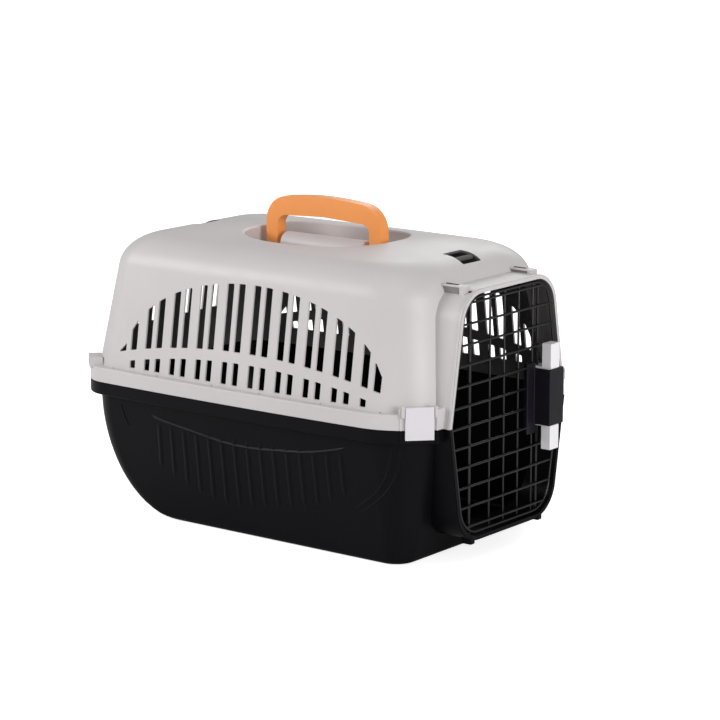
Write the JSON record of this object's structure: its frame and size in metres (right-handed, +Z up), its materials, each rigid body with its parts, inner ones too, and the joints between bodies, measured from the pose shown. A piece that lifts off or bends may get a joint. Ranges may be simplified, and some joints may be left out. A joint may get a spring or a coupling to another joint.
{
  "type": "pet transport carrier",
  "caption": "Two-part moulded pet carrier with a wire grid door, squeeze latch, swing top handle, slotted sides and corner clips.",
  "frame": {"origin": "centre of the flat base face, below the middle of the rim, at the resting height", "axes": "+X out of the door along the length, +Y to the latch side of the door, +Z up"},
  "size_m": [0.5105, 0.324, 0.366],
  "materials": {
    "pale_shell": "fine satin moulding texture, warm pale grey",
    "black_shell": "satin moulded black",
    "orange_handle": "satin moulded orange",
    "white_clip": "satin moulded cool white",
    "black_latch": "satin moulded black",
    "coated_wire": "black powder coat, slightly glossy",
    "bright_steel": "plain bright steel"
  },
  "bodies": {
    "shells": {"lower_shell": "black_shell", "upper_shell": "pale_shell", "clip_pin_left": "bright_steel", "clip_pin_right": "bright_steel", "handle_pin_front": "bright_steel", "handle_pin_rear": "bright_steel"},
    "clip_left": {"clip_left": "white_clip"},
    "clip_right": {"clip_right": "white_clip"},
    "handle": {"handle": "orange_handle"},
    "door": {"door_frame_wire": "coated_wire", "door_cross_wire_01": "coated_wire", "door_cross_wire_02": "coated_wire", "door_cross_wire_03": "coated_wire", "door_cross_wire_04": "coated_wire", "door_cross_wire_05": "coated_wire", "door_cross_wire_06": "coated_wire", "door_cross_wire_07": "coated_wire", "door_cross_wire_08": "coated_wire", "door_cross_wire_09": "coated_wire", "door_cross_wire_10": "coated_wire", "door_cross_wire_11": "coated_wire", "door_cross_wire_12": "coated_wire", "door_upright_1": "coated_wire", "door_upright_2": "coated_wire", "door_upright_3": "coated_wire", "door_upright_4": "coated_wire", "door_hinge_rod": "coated_wire", "latch_housing": "black_latch", "latch_back_plate": "black_latch", "latch_spring": "bright_steel"},
    "latch_top": {"latch_tab_top": "white_clip", "latch_bolt_top": "coated_wire"},
    "latch_bottom": {"latch_tab_bottom": "white_clip", "latch_bolt_bottom": "coated_wire"}
  },
  "joints": [
    {"name": "clip_left_swing", "type": "hinge", "parent": "shells", "child": "clip_left", "pos_m": [0.22795, -0.13295, 0.1775], "axis": [-0.7071, -0.7071, 0], "range_deg": [0, 100]},
    {"name": "clip_right_swing", "type": "hinge", "parent": "shells", "child": "clip_right", "pos_m": [0.22795, 0.13295, 0.1775], "axis": [0.7071, -0.7071, 0], "range_deg": [0, 100]},
    {"name": "handle_swing", "type": "hinge", "parent": "shells", "child": "handle", "pos_m": [0, 0, 0.302], "axis": [1, 0, 0], "range_deg": [-85, 85]},
    {"name": "door_hinge", "type": "hinge", "parent": "shells", "child": "door", "pos_m": [0.2429, -0.0645, 0.15], "axis": [0, 0, -1], "range_deg": [0, 75]},
    {"name": "latch_top_slide", "type": "slide", "parent": "door", "child": "latch_top", "axis": [0, 0, 1], "range_m": [0, 0.006], "stiffness_N_per_m": 300, "springref_m": 0.006, "deforming": ["latch_spring"]},
    {"name": "latch_bottom_slide", "type": "slide", "parent": "door", "child": "latch_bottom", "axis": [0, 0, -1], "range_m": [0, 0.006], "stiffness_N_per_m": 300, "springref_m": 0.006}
  ]
}
